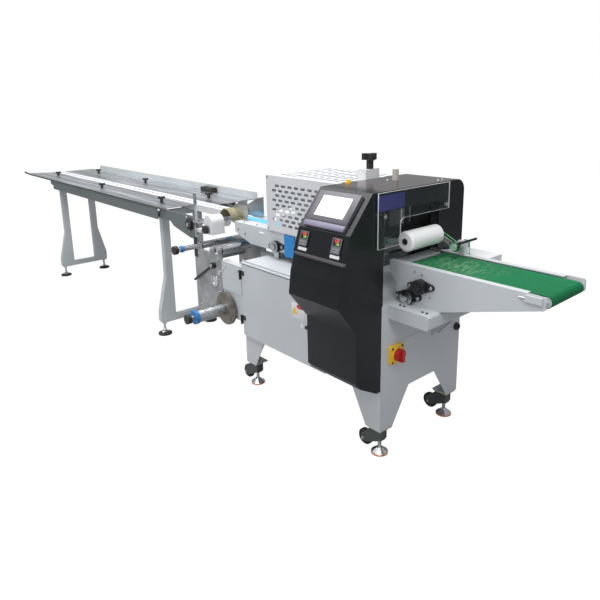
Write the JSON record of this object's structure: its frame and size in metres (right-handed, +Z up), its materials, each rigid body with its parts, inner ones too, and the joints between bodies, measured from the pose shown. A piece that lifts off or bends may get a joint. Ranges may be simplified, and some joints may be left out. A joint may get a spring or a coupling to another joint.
{
  "type": "horizontal flow wrapper",
  "caption": "Packaging line machine with a long infeed chain table, film unwind, forming section under a slotted lift-up cover, sealing hood with console, and a discharge belt.",
  "frame": {"origin": "centre of the footprint, on the floor", "axes": "+X from the infeed to the discharge, +Y away from the operator, +Z up"},
  "size_m": [5.2322, 0.917, 1.2763],
  "materials": {
    "painted_grey": "satin",
    "dark_grey_paint": "satin",
    "white_paint": "gloss",
    "brushed_sheet": "satin",
    "polished_steel": "polished",
    "white_plastic": "satin",
    "black_plastic": "gloss",
    "black_satin": "matte",
    "green_belt": "satin",
    "blue_belt": "satin",
    "blue_paint": "satin",
    "violet_blue": "satin",
    "clear_sheet": "gloss",
    "green_wheel": "satin",
    "black_rubber": "matte",
    "orange_pad": "satin",
    "yellow_plate": "satin",
    "red_plastic": "satin",
    "instrument_grey": "satin"
  },
  "bodies": {
    "frame": {"base_housing": "painted_grey", "base_legs": "painted_grey", "bearing_units": "black_plastic", "bed_plate": "painted_grey", "blue_panel": "blue_paint", "cabinet_shell": "painted_grey", "castor_brackets": "black_satin", "clamp_knobs": "black_satin", "console": "black_plastic", "console_instruments": "instrument_grey", "discharge_bed": "brushed_sheet", "discharge_belt": "green_belt", "discharge_shelf": "painted_grey", "discharge_sides": "white_paint", "feed_belt": "blue_belt", "feed_frame": "brushed_sheet", "feed_sides": "white_paint", "film_feed_wheel": "green_wheel", "film_frame": "painted_grey", "forming_unit": "brushed_sheet", "hinge_brackets": "painted_grey", "hood_end_plate": "brushed_sheet", "hood_fittings": "polished_steel", "hood_skin": "brushed_sheet", "infeed_chain": "polished_steel", "infeed_channel": "white_paint", "infeed_drive_plates": "white_paint", "infeed_feet": "black_rubber", "infeed_leg_left": "dark_grey_paint", "infeed_leg_right": "dark_grey_paint", "infeed_shelves": "brushed_sheet", "infeed_side_plates": "dark_grey_paint", "jaw_frame": "brushed_sheet", "levelling_pads": "orange_pad", "seal_guard": "clear_sheet", "seal_housing": "painted_grey", "seal_jaws": "polished_steel", "servo_cover": "violet_blue", "switch_plate": "yellow_plate", "tie_strap": "black_satin", "transfer_cover": "white_paint", "transfer_guides": "brushed_sheet"},
    "cabinet_door": {"cabinet_door": "painted_grey"},
    "cover": {"cover_front": "white_plastic", "cover_top": "white_plastic", "cover_walls": "white_plastic"},
    "reel": {"reel_disc": "polished_steel", "reel_shaft": "black_satin"},
    "idler_1": {"idler_roller_1": "polished_steel"},
    "idler_2": {"idler_roller_2": "polished_steel"},
    "idler_3": {"idler_roller_3": "polished_steel"},
    "brake_lever": {"brake_lever": "black_satin"},
    "castor_1": {"castor_wheel_1": "black_rubber"},
    "castor_2": {"castor_wheel_2": "black_rubber"},
    "castor_3": {"castor_wheel_3": "black_rubber"},
    "castor_4": {"castor_wheel_4": "black_rubber"},
    "pressure_knob": {"pressure_knob": "black_satin"},
    "roller_arm": {"roller_arm": "white_plastic"},
    "press_roller": {"press_roller": "white_plastic"},
    "switch_knob": {"switch_knob": "red_plastic"}
  },
  "joints": [
    {"name": "door_swing", "type": "hinge", "parent": "frame", "child": "cabinet_door", "pos_m": [1.02885, -0.2095, 0.29], "axis": [0, 0, 1], "range_deg": [-105, 0]},
    {"name": "cover_lift", "type": "hinge", "parent": "frame", "child": "cover", "pos_m": [1.99785, 0.4515, 0.841], "axis": [1, 0, 0], "range_deg": [-70, 0]},
    {"name": "reel_spin", "type": "hinge", "parent": "frame", "child": "reel", "pos_m": [0.87585, -0.1995, 0.396], "axis": [0, 1, 0], "continuous": true},
    {"name": "idler_1_spin", "type": "hinge", "parent": "frame", "child": "idler_1", "pos_m": [0.60585, -0.1935, 0.706], "axis": [0, 1, 0], "continuous": true},
    {"name": "idler_2_spin", "type": "hinge", "parent": "frame", "child": "idler_2", "pos_m": [0.73585, -0.1935, 0.704], "axis": [0, 1, 0], "continuous": true},
    {"name": "idler_3_spin", "type": "hinge", "parent": "frame", "child": "idler_3", "pos_m": [0.81185, -0.1935, 0.716], "axis": [0, 1, 0], "continuous": true},
    {"name": "brake_swing", "type": "hinge", "parent": "frame", "child": "brake_lever", "pos_m": [0.75985, -0.1935, 0.62], "axis": [0, 1, 0], "range_deg": [-40, 40]},
    {"name": "castor_1_spin", "type": "hinge", "parent": "frame", "child": "castor_1", "pos_m": [0.99185, -0.1475, 0.043], "axis": [0, 1, 0], "continuous": true},
    {"name": "castor_2_spin", "type": "hinge", "parent": "frame", "child": "castor_2", "pos_m": [0.99185, 0.3265, 0.043], "axis": [0, 1, 0], "continuous": true},
    {"name": "castor_3_spin", "type": "hinge", "parent": "frame", "child": "castor_3", "pos_m": [1.88085, -0.1475, 0.043], "axis": [0, 1, 0], "continuous": true},
    {"name": "castor_4_spin", "type": "hinge", "parent": "frame", "child": "castor_4", "pos_m": [1.88085, 0.3265, 0.043], "axis": [0, 1, 0], "continuous": true},
    {"name": "pressure_knob_turn", "type": "hinge", "parent": "frame", "child": "pressure_knob", "pos_m": [1.68885, 0.0695, 1.208], "axis": [0, 0, 1], "continuous": true},
    {"name": "arm_lift", "type": "hinge", "parent": "frame", "child": "roller_arm", "pos_m": [2.09485, 0.1515, 0.902], "axis": [0, 1, 0], "range_deg": [0, 40]},
    {"name": "press_roller_spin", "type": "hinge", "parent": "roller_arm", "child": "press_roller", "pos_m": [2.00285, -0.0605, 0.946], "axis": [0, 1, 0], "continuous": true},
    {"name": "main_switch_turn", "type": "hinge", "parent": "frame", "child": "switch_knob", "pos_m": [1.99785, -0.1055, 0.471], "axis": [1, 0, 0], "range_deg": [0, 90]}
  ]
}
